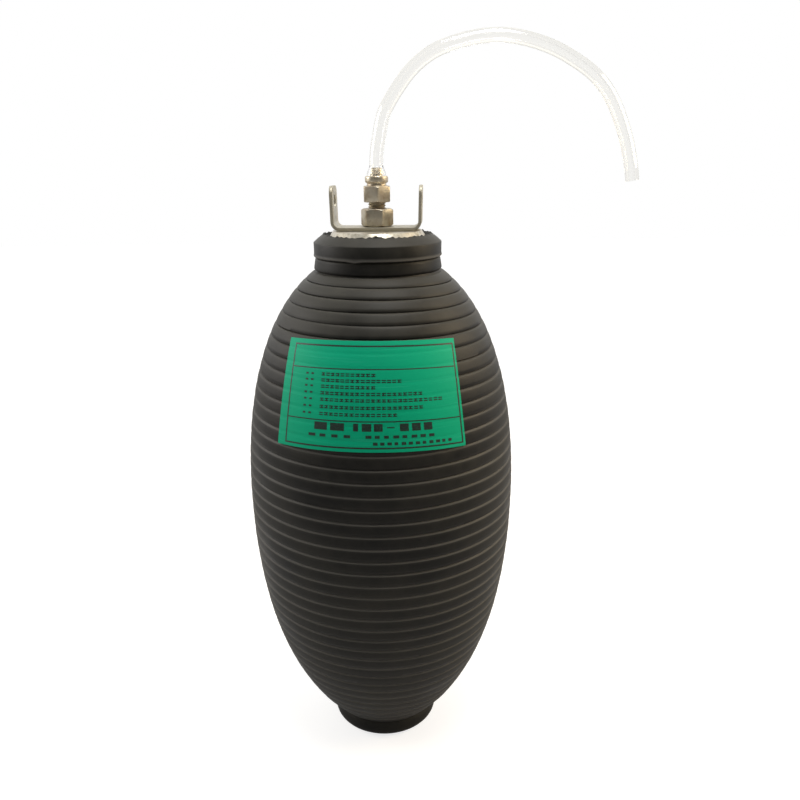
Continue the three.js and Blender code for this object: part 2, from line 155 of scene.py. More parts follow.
def ramp(tree: Tree, value: Socket, source: Spot, target: Spot) -> Socket:
    """Maps one span of values to another and holds it at both ends.

    Args:
        tree: Node tree of a material.
        value: The value to map.
        source: Lowest and highest value that count.
        target: What they become.

    Returns:
        The mapped value.
    """
    settings = {"From Min": source[0], "From Max": source[1], "To Min": target[0], "To Max": target[1]}
    return add_node(tree, "ShaderNodeMapRange", settings, {"Value": value}).outputs["Result"]


def mix(tree: Tree, share: Socket, first: str, second: str) -> Socket:
    """Mixes two colours.

    Args:
        tree: Node tree of a material.
        share: How much of the second colour shows, from 0 to 1.
        first: Colour as #rrggbb.
        second: Colour as #rrggbb.

    Returns:
        The mixed colour.
    """
    settings = {"data_type": "RGBA", 6: linear(first), 7: linear(second)}
    return add_node(tree, "ShaderNodeMix", settings, {0: share}).outputs[2]


def polar(radius: float, azimuth: float, height: float) -> Vector:
    """Gives the point at a radius and azimuth, in degrees, and a height."""
    angle = math.radians(azimuth)
    return Vector((radius * math.sin(angle), -radius * math.cos(angle), height))


def blend(start: float, end: float, share: float) -> float:
    """Gives the value at a share of the way from start to end."""
    return start + (end - start) * share


def bump_at(place: float, centre: float, width: float) -> float:
    """Gives a smooth bump of height 1 at centre that is gone two widths away."""
    return math.exp(-(((place - centre) / width) ** 2))


@dataclass
class Shell:
    """Points, in millimetres, and faces of a mesh in the making."""

    points: Ring = field(default_factory=list)
    faces: list[tuple[int, ...]] = field(default_factory=list)

    def add_rings(self, rings: Sequence[Ring], looped: bool = False, capped: bool = False) -> None:
        """Joins closed rings of one length with quads.

        Args:
            rings: Rings of points, in order.
            looped: Whether the last ring joins the first.
            capped: Whether the first and the last ring are closed by fans.
        """
        start, count = len(self.points), len(rings[0])
        for ring in rings:
            self.points.extend(ring)
        for row in range(len(rings) if looped else len(rings) - 1):
            low, high = start + row * count, start + (row + 1) % len(rings) * count
            for i in range(count):
                j = (i + 1) % count
                self.faces.append((low + i, low + j, high + j, high + i))
        if capped:
            for first in (start, start + (len(rings) - 1) * count):
                centre = sum(self.points[first:first + count], Vector()) / count
                self.points.append(centre)
                hub = len(self.points) - 1
                self.faces.extend((first + i, first + (i + 1) % count, hub) for i in range(count))

    def add_slab(self, top: Sequence[Ring], bottom: Sequence[Ring]) -> None:
        """Joins two open grids of one size into a closed slab.

        Args:
            top: Rows of points of the upper side.
            bottom: Rows of points of the lower side.
        """
        self.add_rings([[*upper, *reversed(lower)] for upper, lower in zip(top, bottom)])
        start = len(self.points) - len(top) * len(top[0]) * 2
        count = len(top[0])
        for first in (start, len(self.points) - 2 * count):
            last = first + 2 * count - 1
            self.faces.extend((first + i, first + i + 1, last - 1 - i, last - i) for i in range(count - 1))

    def to_piece(self, name: str, crease: float = 35.0) -> bpy.types.Object:
        """Makes the scene object, smooth but for edges sharper than the crease.

        Args:
            name: Name of the piece.
            crease: Angle between faces, in degrees, from which an edge stays sharp.

        Returns:
            The new object.
        """
        mesh = bpy.data.meshes.new(name)
        mesh.from_pydata([spot * MM for spot in self.points], [], self.faces)
        work = bmesh.new()
        work.from_mesh(mesh)
        bmesh.ops.remove_doubles(work, verts=work.verts, dist=1e-7)
        bmesh.ops.recalc_face_normals(work, faces=work.faces)
        work.to_mesh(mesh)
        work.free()
        piece = bpy.data.objects.new(name, mesh)
        bpy.context.scene.collection.objects.link(piece)
        soften(piece, crease)
        return piece


def soften(piece: bpy.types.Object, crease: float) -> None:
    """Shades a mesh smooth and keeps edges sharper than the crease, in degrees."""
    piece.data.shade_smooth()
    piece.data.set_sharp_from_angle(angle=math.radians(crease))


def mark_lips(
    shell: Shell, pale: Sequence[float], columns: int, name: str, crease: float,
) -> bpy.types.Object:
    """Makes a rubber piece that carries, point by point, how strong the painted highlight on the lips of its
    turns is.

    Args:
        shell: Mesh made of rings, before any caps.
        pale: How pale each ring is, from 0 to 1.
        columns: Points in each ring.
        name: Name of the piece.
        crease: Angle between faces, in degrees, from which an edge stays sharp.

    Returns:
        The new object.
    """
    piece = shell.to_piece(name, crease)
    values = [share for share in pale for _ in range(columns)]
    spare = len(piece.data.vertices) - len(values)
    if spare >= 0:
        lip = piece.data.attributes.new("lip", "FLOAT", "POINT")
        lip.data.foreach_set("value", values + [0.0] * spare)
    return piece


def turned_rings(profile: Iterable[Spot], columns: int) -> list[Ring]:
    """Turns a profile of radius and height round the axis.

    Args:
        profile: Radius and height of each ring.
        columns: Points round each ring.

    Returns:
        One ring of points for each place on the profile.
    """
    return [[polar(radius, 360 * i / columns, height) for i in range(columns)] for radius, height in profile]


def arc(centre: Spot, radii: Spot, start: float, end: float, steps: int) -> list[Spot]:
    """Gives points on an elliptic arc in a profile.

    Args:
        centre: Radius and height of the arc's centre.
        radii: The arc's half widths, across and up.
        start: First angle in degrees, 0 outwards and 90 up.
        end: Last angle in degrees.
        steps: Number of stretches.

    Returns:
        Radius and height of each point.
    """
    angles = [math.radians(blend(start, end, i / steps)) for i in range(steps + 1)]
    return [(centre[0] + radii[0] * math.cos(a), centre[1] + radii[1] * math.sin(a)) for a in angles]


def apply_modifiers(piece: bpy.types.Object) -> None:
    """Makes what a piece's modifiers show its own mesh."""
    shown = piece.evaluated_get(bpy.context.evaluated_depsgraph_get())
    mesh = bpy.data.meshes.new_from_object(shown)
    piece.modifiers.clear()
    piece.data = mesh


def round_edges(piece: bpy.types.Object, width: float, crease: float = 25.0) -> None:
    """Rounds a piece's sharp edges, as tumbling or turning leaves them.

    Args:
        piece: Object to change.
        width: Width of the rounding in millimetres.
        crease: Angle in degrees from which an edge counts as sharp.
    """
    bevel = piece.modifiers.new("edges", "BEVEL")
    bevel.width = width * MM
    bevel.segments = 2
    bevel.limit_method = "ANGLE"
    bevel.angle_limit = math.radians(crease)
    apply_modifiers(piece)
    soften(piece, crease)


def place(piece: bpy.types.Object, material: bpy.types.Material, slot: Slot, *nodes: str) -> bpy.types.Object:
    """Dresses a finished piece, fixes it to the body and lets it stand for CAD nodes.

    Args:
        piece: Finished mesh object.
        material: Its finish.
        slot: The record's slot that the finish belongs to; not used.
        *nodes: Names of the CAD nodes that the piece replaces.

    Returns:
        The same object.
    """
    piece.data.materials.clear()
    piece.data.materials.append(material)
    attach(piece, "root")
    if nodes:
        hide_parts(*nodes)
    log.info("%s: %d faces", piece.name, len(piece.data.polygons))
    return piece


@dataclass(frozen=True)
class Finish:
    """What all finishes share: a named material with one look."""

    name: str

    def build(self) -> bpy.types.Material:
        """Makes the material.

        Returns:
            The new material.
        """
        material = bpy.data.materials.new(self.name)
        material.use_nodes = True
        tree = material.node_tree
        tree.nodes.clear()
        shaders = self.look(tree, add_node(tree, "ShaderNodeTexCoord").outputs["Object"])
        add_node(tree, "ShaderNodeOutputMaterial", links={
            name: shader.outputs[0] for name, shader in zip(("Surface", "Volume"), shaders)})
        return material

    def look(self, tree: Tree, place_m: Socket) -> Shaders:
        """Adds the nodes of the look; each finish has its own.

        Args:
            tree: The material's node tree.
            place_m: Object coordinates, in metres.

        Returns:
            Shader of the surface and, for a clear material, of what fills it.
        """
        raise NotImplementedError


@dataclass(frozen=True)
class VulcanisedRubber(Finish):
    """Carbon-black rubber strip, wound and vulcanised under tape: satin, with a thin grey-brown bloom,
    painted top light on what faces up and a painted highlight on each turn's lip.
    """

    base: str = "#0f0f0e"
    # Colour of the bloom patches and of the painted top light on what faces up
    bloom_and_top_light: str = "#4d4b44"
    # Colour of the painted highlight on each turn's lip
    lip_highlight: str = "#72706b"
    roughness: float = 0.47
    # The tape's cloth print scatters most of the gloss that smooth rubber would have
    gloss: float = 0.17
    bloom_patch_mm: float = 38.0
    grain_mm: float = 0.8

    def look(self, tree: Tree, place_m: Socket) -> Shaders:
        """Adds the nodes of the look, as in Finish."""
        # Bloom lies in patches a few strips wide; a soft cloud makes the brown and grey changes
        patches = noise(tree, place_m, 1000 / self.bloom_patch_mm, 4.0, 0.6)
        patch = ramp(tree, patches, (0.35, 0.75), (0.0, 0.3))
        # Painted top light, with dust: what faces up is painted paler, so the shoulder is greyer than the
        # flanks
        way = add_node(tree, "ShaderNodeSeparateXYZ", links={
            0: add_node(tree, "ShaderNodeNewGeometry").outputs["Normal"]})
        top_light_and_dust = ramp(tree, way.outputs["Z"], (0.1, 0.95), (0.0, 0.62))
        bloom_and_top_light_share = add_node(tree, "ShaderNodeMath", {"operation": "ADD", "use_clamp": True},
                         {0: patch, 1: top_light_and_dust})
        skin = mix(tree, bloom_and_top_light_share.outputs[0], self.base, self.bloom_and_top_light)
        # Painted highlight on the lip of each turn, standing for light caught by the up-facing lip: a pale
        # line about 1.5 mm wide
        lip = add_node(tree, "ShaderNodeAttribute", {"attribute_name": "lip"})
        colour = add_node(tree, "ShaderNodeMix", {"data_type": "RGBA", 7: linear(self.lip_highlight)},
                          {0: lip.outputs["Fac"], 6: skin})
        # Cloth print of the curing tape: grain of about 0.8 mm, coarser than the real weave to show
        grain = noise(tree, place_m, 1000 / self.grain_mm, 2.0, 0.6)
        rough = ramp(tree, patches, (0.3, 0.7), (self.roughness - 0.06, self.roughness + 0.1))
        bump = add_node(tree, "ShaderNodeBump", {"Strength": 0.4, "Distance": 0.0001}, {"Height": grain})
        return (add_node(tree, "ShaderNodeBsdfPrincipled", {"IOR": 1.52, "Specular IOR Level": self.gloss}, {
            "Base Color": colour.outputs[2], "Roughness": rough, "Normal": bump.outputs[0]}),)


@dataclass(frozen=True)
class MouldedSealRubber(Finish):
    """Nitrile rubber, moulded: matt and plain black."""

    base: str = "#1b1a19"

    def look(self, tree: Tree, place_m: Socket) -> Shaders:
        """Adds the nodes of the look, as in Finish."""
        rough = ramp(tree, noise(tree, place_m, 400.0), (0.0, 1.0), (0.55, 0.8))
        return (add_node(tree, "ShaderNodeBsdfPrincipled", {"Base Color": linear(self.base), "IOR": 1.52},
                         {"Roughness": rough}),)


@dataclass(frozen=True)
class WorkedMetal(Finish):
    """A plain metal surface with handling marks: what the steel and the nickel finishes share."""

    base: str = "#b8b1a0"
    stain: str = "#8e8168"
    roughness: float = 0.38
    # Share that is bare metal: the rest is a dull film of oxide and handling
    bare: float = 0.7
    mark_mm: float = 6.0
    stain_share: float = 0.35
    # Tool marks: spacing along Z and how deep they look
    tool_mark_mm: float = 0.35
    tool_mark_strength: float = 0.12

    def look(self, tree: Tree, place_m: Socket) -> Shaders:
        """Adds the nodes of the look, as in Finish."""
        cloud = noise(tree, place_m, 1000 / self.mark_mm, 4.0, 0.6)
        colour = mix(tree, ramp(tree, cloud, (0.45, 0.75), (0.0, self.stain_share)), self.base, self.stain)
        rough = ramp(tree, cloud, (0.3, 0.7), (self.roughness - 0.08, self.roughness + 0.12))
        # Fine scratches run round the turned or rolled surface, so the noise is drawn out across Z
        drawn = add_node(tree, "ShaderNodeMapping", {"Scale": (120.0, 120.0, 1000 / self.tool_mark_mm)},
                         {"Vector": place_m})
        bump = add_node(tree, "ShaderNodeBump", {"Strength": self.tool_mark_strength, "Distance": 0.0001},
                        {"Height": noise(tree, drawn.outputs[0], 1.0)})
        return (add_node(tree, "ShaderNodeBsdfPrincipled", {"Metallic": self.bare}, {
            "Base Color": colour, "Roughness": rough, "Normal": bump.outputs[0]}),)


@dataclass(frozen=True)
class ClearVinyl(Finish):
    """Plasticised PVC, extruded: clear and soft, with slow waves in its wall that bend the lines in it."""

    tint: str = "#ffffff"
    depth_tint: str = "#d8d4c4"
    depth_per_m: float = 95.0
    roughness: float = 0.0
    ior: float = 1.5
    wave_mm: float = 16.0

    def look(self, tree: Tree, place_m: Socket) -> Shaders:
        """Adds the nodes of the look, as in Finish."""
        bump = add_node(tree, "ShaderNodeBump", {"Strength": 0.3, "Distance": 0.0006},
                        {"Height": noise(tree, place_m, 1000 / self.wave_mm, 1.0)})
        shader = add_node(tree, "ShaderNodeBsdfPrincipled", {
            "Base Color": linear(self.tint), "Roughness": self.roughness, "IOR": self.ior,
            "Transmission Weight": 1.0}, {"Normal": bump.outputs[0]})
        # The wall looks greyer where one looks along more of it, which draws the bore's two edges
        depth = add_node(tree, "ShaderNodeVolumeAbsorption", {
            "Color": linear(self.depth_tint), "Density": self.depth_per_m})
        return shader, depth


@dataclass(frozen=True)
class PrintedFilm(Finish):
    """Vinyl film, printed one flat green and stuck on: semi-gloss, with painted highlight streaks along the
    ribs.
    """

    base: str = "#00a87d"
    # Colour of the painted highlight streaks
    painted_light: str = "#35c19b"
    roughness: float = 0.55
    streak_mm: float = 1.6

    def look(self, tree: Tree, place_m: Socket) -> Shaders:
        """Adds the nodes of the look, as in Finish."""
        # Painted highlight streaks, standing for light caught where the film crosses the ribs: long across,
        # about 1.6 mm apart up the film
        drawn = add_node(tree, "ShaderNodeMapping", {"Scale": (14.0, 14.0, 1000 / self.streak_mm)},
                         {"Vector": place_m})
        streaks = noise(tree, drawn.outputs[0], 1.0, 3.0, 0.65)
        colour = mix(tree, ramp(tree, streaks, (0.56, 0.82), (0.0, 0.55)), self.base, self.painted_light)
        return (add_node(tree, "ShaderNodeBsdfPrincipled", {
            "Roughness": self.roughness, "IOR": 1.5, "Specular IOR Level": 0.15}, {"Base Color": colour}),)


@dataclass(frozen=True)
class ScreenInk(Finish):
    """Black screen-printing ink on the film: thin, slightly broken where the film is rubbed."""

    base: str = "#10241d"
    worn: str = "#0f5a45"
    roughness: float = 0.5

    def look(self, tree: Tree, place_m: Socket) -> Shaders:
        """Adds the nodes of the look, as in Finish."""
        wear = ramp(tree, noise(tree, place_m, 900.0, 3.0), (0.5, 0.75), (0.0, 0.6))
        return (add_node(tree, "ShaderNodeBsdfPrincipled", {"Roughness": self.roughness},
                         {"Base Color": mix(tree, wear, self.base, self.worn)}),)


@dataclass(frozen=True)
class StudioFloor(Finish):
    """Painted white board: pale, matt, and white to the camera but for the object's shadow."""

    base: str = "#b2b0ac"
    lift: float = 0.76
    # Share of that white that shows in gloss, since the board in front of the plug lies in shade
    mirrored: float = 0.25

    def look(self, tree: Tree, place_m: Socket) -> Shaders:
        """Adds the nodes of the look, as in Finish."""
        rough = ramp(tree, noise(tree, place_m, 60.0), (0.0, 1.0), (0.7, 0.9))
        board = add_node(tree, "ShaderNodeBsdfPrincipled", {"Base Color": linear(self.base)},
                         {"Roughness": rough})
        glow = add_node(tree, "ShaderNodeEmission", {"Strength": self.lift})
        bright = add_node(tree, "ShaderNodeAddShader", links={0: board.outputs[0], 1: glow.outputs[0]})
        path = add_node(tree, "ShaderNodeLightPath")
        seen = add_node(tree, "ShaderNodeMath", {"operation": "MAXIMUM"}, {
            0: path.outputs["Is Camera Ray"], 1: path.outputs["Is Transmission Ray"]})
        mirrored = add_node(tree, "ShaderNodeMath", {"operation": "MULTIPLY", 1: self.mirrored},
                            {0: path.outputs["Is Glossy Ray"]})
        shown = add_node(tree, "ShaderNodeMath", {"operation": "MAXIMUM"}, {
            0: seen.outputs[0], 1: mirrored.outputs[0]})
        return (add_node(tree, "ShaderNodeMixShader", links={
            0: shown.outputs[0], 1: board.outputs[0], 2: bright.outputs[0]}),)


@dataclass
class Studio:
    """Camera, floor, sky and lamps."""

    eye: Spot = (-554.4, 440.05)
    focal_px: float = 773.8
    picture_px: float = 800.0
    pitch: float = 17.056
    yaw: float = -1.515
    roll: float = -0.569
    sky_level: float = 0.85
    sky_front: float = 0.06
    floor_size: float = 8.0

    def add_camera(self) -> None:
        """Adds the camera that sees the plug as the photograph does."""
        sensor = 36.0
        data = bpy.data.cameras.new("camera")
        data.sensor_width = sensor
        data.lens = sensor * self.focal_px / self.picture_px
        data.clip_start = 0.01
        turn = math.radians(self.yaw)
        side = Vector((math.cos(turn), math.sin(turn), 0))
        ahead = Vector((-math.sin(turn), math.cos(turn), 0))
        tilt, lean = math.radians(self.pitch), math.radians(self.roll)
        forward = ahead * math.cos(tilt) - Vector((0, 0, 1)) * math.sin(tilt)
        up = ahead * math.sin(tilt) + Vector((0, 0, 1)) * math.cos(tilt)
        right = side * math.cos(lean) + up * math.sin(lean)
        top = up * math.cos(lean) - side * math.sin(lean)
        camera = bpy.data.objects.new("camera", data)
        frame = Matrix((right, top, -forward)).transposed().to_4x4()
        frame.translation = Vector((0, self.eye[0], self.eye[1])) * MM
        camera.matrix_world = frame
        bpy.context.scene.collection.objects.link(camera)
        bpy.context.scene.camera = camera

    def add_floor(self) -> None:
        """Adds the floor that the plug stands on."""
        half = self.floor_size / 2 / MM
        shell = Shell()
        square = ((-half, -half), (half, -half), (half, half), (-half, half))
        shell.points = [Vector((x, y, 0)) for x, y in square]
        shell.faces = [(0, 1, 2, 3)]
        floor = shell.to_piece("studio_floor")
        floor.data.materials.append(StudioFloor("white_board").build())

    def add_sky(self) -> None:
        """Adds the pale surround: white behind the plug, dim in front of it where the room is dark."""
        world = bpy.data.worlds.new("surround")
        bpy.context.scene.world = world
        world.use_nodes = True
        tree = world.node_tree
        tree.nodes.clear()
        way = add_node(tree, "ShaderNodeSeparateXYZ", links={
            0: add_node(tree, "ShaderNodeTexCoord").outputs["Generated"]})
        front = add_node(tree, "ShaderNodeMapRange", {
            "interpolation_type": "SMOOTHSTEP", "From Min": -0.6, "From Max": 0.3,
            "To Min": self.sky_front, "To Max": 1.0}, {"Value": way.outputs["Y"]})
        high = add_node(tree, "ShaderNodeMapRange", {
            "interpolation_type": "SMOOTHSTEP", "From Min": 0.45, "From Max": 0.98,
            "To Min": 0.0, "To Max": 0.5}, {"Value": way.outputs["Z"]})
        level = add_node(tree, "ShaderNodeMath", {"operation": "MAXIMUM"}, {
            0: front.outputs["Result"], 1: high.outputs["Result"]})
        path = add_node(tree, "ShaderNodeLightPath")
        # Metal and rubber mirror the white background; matt surfaces are lit by a little less of it
        shine = add_node(tree, "ShaderNodeMapRange", {"To Min": self.sky_level, "To Max": 1.0},
                         {"Value": path.outputs["Is Glossy Ray"]})
        strength = add_node(tree, "ShaderNodeMath", {"operation": "MULTIPLY"},
                            {0: level.outputs[0], 1: shine.outputs["Result"]})
        soft = add_node(tree, "ShaderNodeBackground", {"Color": (1, 1, 1, 1)},
                        {"Strength": strength.outputs[0]})
        white = add_node(tree, "ShaderNodeBackground", {"Color": (1, 1, 1, 1), "Strength": 1.0})
        seen = add_node(tree, "ShaderNodeMath", {"operation": "MAXIMUM"}, {
            0: path.outputs["Is Camera Ray"], 1: path.outputs["Is Transmission Ray"]})
        both = add_node(tree, "ShaderNodeMixShader", links={
            0: seen.outputs[0], 1: soft.outputs[0], 2: white.outputs[0]})
        add_node(tree, "ShaderNodeOutputWorld", links={"Surface": both.outputs[0]})

    def add_lamp(self, name: str, spot: Vector, aim: Vector, size: float, power: float, tint: str) -> None:
        """Adds a square soft lamp.

        Args:
            name: Name of the lamp.
            spot: Its place in metres.
            aim: The point it faces, in metres.
            size: Its side in metres.
            power: Its power in watts.
            tint: Its colour as #rrggbb.
        """
        data = bpy.data.lights.new(name, "AREA")
        data.size = size
        data.energy = power
        data.color = linear(tint)[:3]
        lamp = bpy.data.objects.new(name, data)
        lamp.location = spot
        lamp.rotation_euler = (aim - spot).to_track_quat("-Z", "Y").to_euler()
        bpy.context.scene.collection.objects.link(lamp)

    def build(self) -> None:
        """Adds everything but the camera."""
        self.add_floor()
        self.add_sky()
        middle = Vector((0, 0, 0.28))
        self.add_lamp("ceiling_panel", Vector((0.12, -0.3, 1.5)), middle, 0.55, 9.0, "#ffffff")
        self.add_lamp("left_panel", Vector((-1.2, 0.15, 0.8)), middle, 0.7, 7.0, "#fff9f4")
        self.add_lamp("right_panel", Vector((1.2, -0.05, 0.9)), middle, 0.7, 11.0, "#ffe6bd")
        scene = bpy.context.scene
        scene.view_settings.view_transform = "Standard"


@dataclass(frozen=True)
class BodyOutline:
    """The bladder's smooth outline, from the waist over the foot up to the shoulder."""

    body_radius: float = 99.0
    equator_height: float = 207.0
    shoulder_height: float = 368.0
    shoulder_radius: float = 45.0
    shoulder_slope: float = 36.6
    shoulder_reach: float = 58.4
    upper_fullness: float = 45.3
    waist_height: float = 16.0
    waist_radius: float = 42.0
    waist_slope: float = 45.4
    waist_reach: float = 62.8
    lower_fullness: float = 71.8
    strip_width: float = 9.3
    table: list[tuple[float, float, float]] = field(default_factory=list)

    def __post_init__(self) -> None:
        """Tables length, radius and height along both curves."""
        low, high = math.radians(self.waist_slope), math.radians(self.shoulder_slope)
        waist = Vector((self.waist_radius, self.waist_height))
        equator = Vector((self.body_radius, self.equator_height))
        shoulder = Vector((self.shoulder_radius, self.shoulder_height))
        curves = (
            (waist, waist + Vector((math.cos(low), math.sin(low))) * self.waist_reach,
             equator - Vector((0, self.lower_fullness)), equator),
            (equator, equator + Vector((0, self.upper_fullness)),
             shoulder + Vector((math.cos(high), -math.sin(high))) * self.shoulder_reach, shoulder),
        )
        spots = [waist]
        for a, b, c, d in curves:
            for i in range(1, 401):
                t = i / 400
                spots.append(a * (1 - t) ** 3 + b * 3 * t * (1 - t) ** 2
                             + c * 3 * t * t * (1 - t) + d * t ** 3)
        length = 0.0
        for before, spot in zip([waist, *spots], spots):
            length += (spot - before).length
            self.table.append((length, spot.x, spot.y))

    @property
    def length(self) -> float:
        """Length from the waist to the shoulder."""
        return self.table[-1][0]

    @property
    def turns(self) -> int:
        """Number of turns of strip."""
        return round(self.length / self.strip_width)

    @property
    def pitch(self) -> float:
        """Length along the outline from one seam to the next."""
        return self.length / self.turns

    def at(self, along: float, depth: float = 0.0) -> Spot:
        """Finds the point at a length along the outline.

        Args:
            along: Length from the waist.
            depth: How far inwards from the outline.

        Returns:
            Radius and height.
        """
        place_along = min(max(along, 0.0), self.length - 1e-6)
        low, high = 0, len(self.table) - 1
        while high - low > 1:
            middle = (low + high) // 2
            if self.table[middle][0] <= place_along:
                low = middle
            else:
                high = middle
        (s0, r0, z0), (s1, r1, z1) = self.table[low], self.table[high]
        share = (place_along - s0) / (s1 - s0)
        run = Vector((r1 - r0, z1 - z0)).normalized()
        return blend(r0, r1, share) - run.y * depth, blend(z0, z1, share) + run.x * depth

    def near_seam(self, along: float, width: float = 0.8) -> float:
        """Tells how near a place is to a seam: 1 on it and 0 away from it."""
        off = (along / self.pitch + 0.5) % 1.0 - 0.5
        return bump_at(off * self.pitch, 0.0, width)


@dataclass
class Bladder:
    """The strip-wound body with its foot and neck band."""

    outline: BodyOutline
    foot_radius: float = 41.3
    foot_height: float = 13.0
    foot_edge: float = 7.3
    foot_crease_depth: float = 1.6
    neck_radius: float = 45.0
    neck_height: float = 9.0
    neck_wall: float = 8.0
    neck_groove_depth: float = 1.0
    floor_thickness: float = 16.0
    wall: float = 7.0
    groove_depth: float = 0.8
    crown: float = 0.1
    # Keeps the crowned strips inside the solid's outline
    inset: float = 0.16
    # Painted lip highlights show from this height down, in full this much lower, and never stronger than the
    # share
    pale_below: float = 330.0
    pale_fade: float = 130.0
    pale_least: float = 0.06
    pale_share: float = 0.62
    columns: int = 200
    seed: int = 11
    # Upper turns lie a little lower on the right and lower turns a little higher there
    tilt: float = 0.9

    def __post_init__(self) -> None:
        """Draws each seam's own waver and each strip's own lift."""
        draw = random.Random(self.seed)
        count = self.outline.turns + 1
        self.waver = [[(draw.uniform(0.05, 0.22) / lobe, draw.uniform(0, 360), lobe) for lobe in (1, 2, 3)]
                      for _ in range(count)]
        self.lift = [draw.uniform(-0.07, 0.09) for _ in range(count)]
        self.deep = [draw.uniform(0.75, 1.2) for _ in range(count)]

    def stray(self, turn: int, azimuth: float) -> float:
        """Finds how far a seam strays up from its even place.

        Args:
            turn: Number of the seam from the waist.
            azimuth: Angle round the axis in degrees.

        Returns:
            Distance along the outline in millimetres.
        """
        if turn in (0, self.outline.turns):
            return 0.0
        share = turn / self.outline.turns
        lean = self.tilt * (0.5 - share) * 2 * math.sin(math.radians(azimuth))
        return lean + sum(size * math.sin(math.radians(lobe * azimuth + start))
                          for size, start, lobe in self.waver[turn])

    def wound_rings(self) -> tuple[list[Ring], list[float]]:
        """Makes the rings of the wound body.

        Returns:
            The rings, and how pale each one is.
        """
        outline, pitch = self.outline, self.outline.pitch
        # Distance from the strip's lower seam, depth as a share of the groove, share of the crown and of
        # the painted lip highlight: the lower edge stands nearly square, the upper edge is pressed to a slope
        section = ((0.0, 1.0, 0.0, 0.5), (0.22, 0.35, 0.0, 0.0), (0.45, 0.05, 0.0, 0.0),
                   (pitch * 0.3, 0.0, 1.0, 0.0), (pitch * 0.65, 0.0, 1.0, 0.0),
                   (pitch - 1.85, 0.0, 0.0, 0.1), (pitch - 1.3, 0.12, 0.0, 0.7),
                   (pitch - 0.65, 0.5, 0.0, 1.0), (pitch - 0.2, 0.86, 0.0, 0.9))
        rings, lips = [], []
        for turn in range(outline.turns):
            # The painted lip highlight grows towards the bottom, where the body faces down and only the
            # up-facing lips catch the light
            below = self.pale_below - outline.at((turn + 1) * pitch)[1]
            painted_light = min(max(below / self.pale_fade, self.pale_least), 1.0)
            for offset, sunk, crowned, pale in section:
                if turn == 0 and offset < 0.4:
                    continue
                share = offset / pitch
                seam = turn if share < 0.5 else turn + 1
                ring = []
                for i in range(self.columns):
                    azimuth = 360 * i / self.columns
                    wide = 1 + 0.2 * math.sin(math.radians(2 * azimuth + 97 * seam))
                    depth = (self.inset + sunk * self.groove_depth * self.deep[seam] * wide
                             - crowned * self.crown - (1 - sunk) * self.lift[turn])
                    shift = blend(self.stray(turn, azimuth), self.stray(turn + 1, azimuth), share)
                    radius, height = outline.at(turn * pitch + offset + shift, depth)
                    ring.append(polar(radius, azimuth, height))
                rings.append(ring)
                lips.append(pale * self.pale_share * painted_light)
        return rings, lips

    def foot_rings(self) -> tuple[list[Ring], list[float]]:
        """Makes the rings of the foot and its crease, and how pale each one is."""
        edge = self.foot_edge
        crease = (self.outline.waist_radius - self.foot_crease_depth,
                  (self.foot_height + self.outline.waist_height) / 2)
        profile = [(self.foot_radius - edge - 3, 0.0),
                   *arc((self.foot_radius - edge, edge), (edge, edge), -90, 0, 8),
                   (self.foot_radius, self.foot_height - 1), (self.foot_radius - 0.3, self.foot_height - 0.3),
                   (crease[0] + 0.25, crease[1] - 0.5), crease, (crease[0] + 0.5, crease[1] + 0.6),
                   (self.outline.waist_radius, self.outline.waist_height)]
        # The ring at the waist carries a little painted highlight
        return turned_rings(profile, self.columns), [0.0] * (len(profile) - 1) + [0.3]

    def neck_rings(self) -> tuple[list[Ring], list[float]]:
        """Makes the rings of the neck band and the open top, and how pale each one is."""
        low, deep, radius = self.outline.shoulder_height, self.neck_groove_depth, self.neck_radius
        top = low + self.neck_height
        profile = [(radius - deep, low + 0.1), (radius - deep * 0.5, low + 0.6), (radius + 0.1, low + 1.2),
                   (radius + 0.15, low + 2.2), (radius - 0.2, (low + top) / 2), (radius - 0.6, top - 2.0),
                   (radius - 0.8, top - 1.0), (radius - deep * 1.1, top - 0.4), (radius - deep * 1.6, top),
                   (radius - self.neck_wall, top)]
        return turned_rings(profile, self.columns), [0.0] * len(profile)

    def chamber_rings(self) -> list[Ring]:
        """Makes the rings of the air chamber's wall, from the neck down to the floor."""
        outline, steps = self.outline, 14
        start = outline.length - self.wall * 1.4
        wall = [outline.at(start * (1 - i / steps), self.wall) for i in range(steps + 1)]
        inner = self.neck_radius - self.neck_wall
        profile = [(inner, outline.shoulder_height - 2),
                   *[spot for spot in wall if spot[1] > self.floor_thickness],
                   (self.outline.waist_radius / 2, self.floor_thickness)]
        return turned_rings(profile, self.columns)

    def build(self, rubber: bpy.types.Material) -> None:
        """Makes the bladder and dresses it."""
        parts = [self.foot_rings(), self.wound_rings(), self.neck_rings()]
        rings = [ring for group, _ in parts for ring in group]
        lips = [pale for _, group in parts for pale in group]
        inside = self.chamber_rings()
        shell = Shell()
        shell.add_rings([*rings, *inside], capped=True)
        piece = mark_lips(shell, [*lips, *[0.0] * len(inside)], self.columns, "wound_bladder", 50)
        place(piece, rubber, Slot.RUBBER, "bladder")


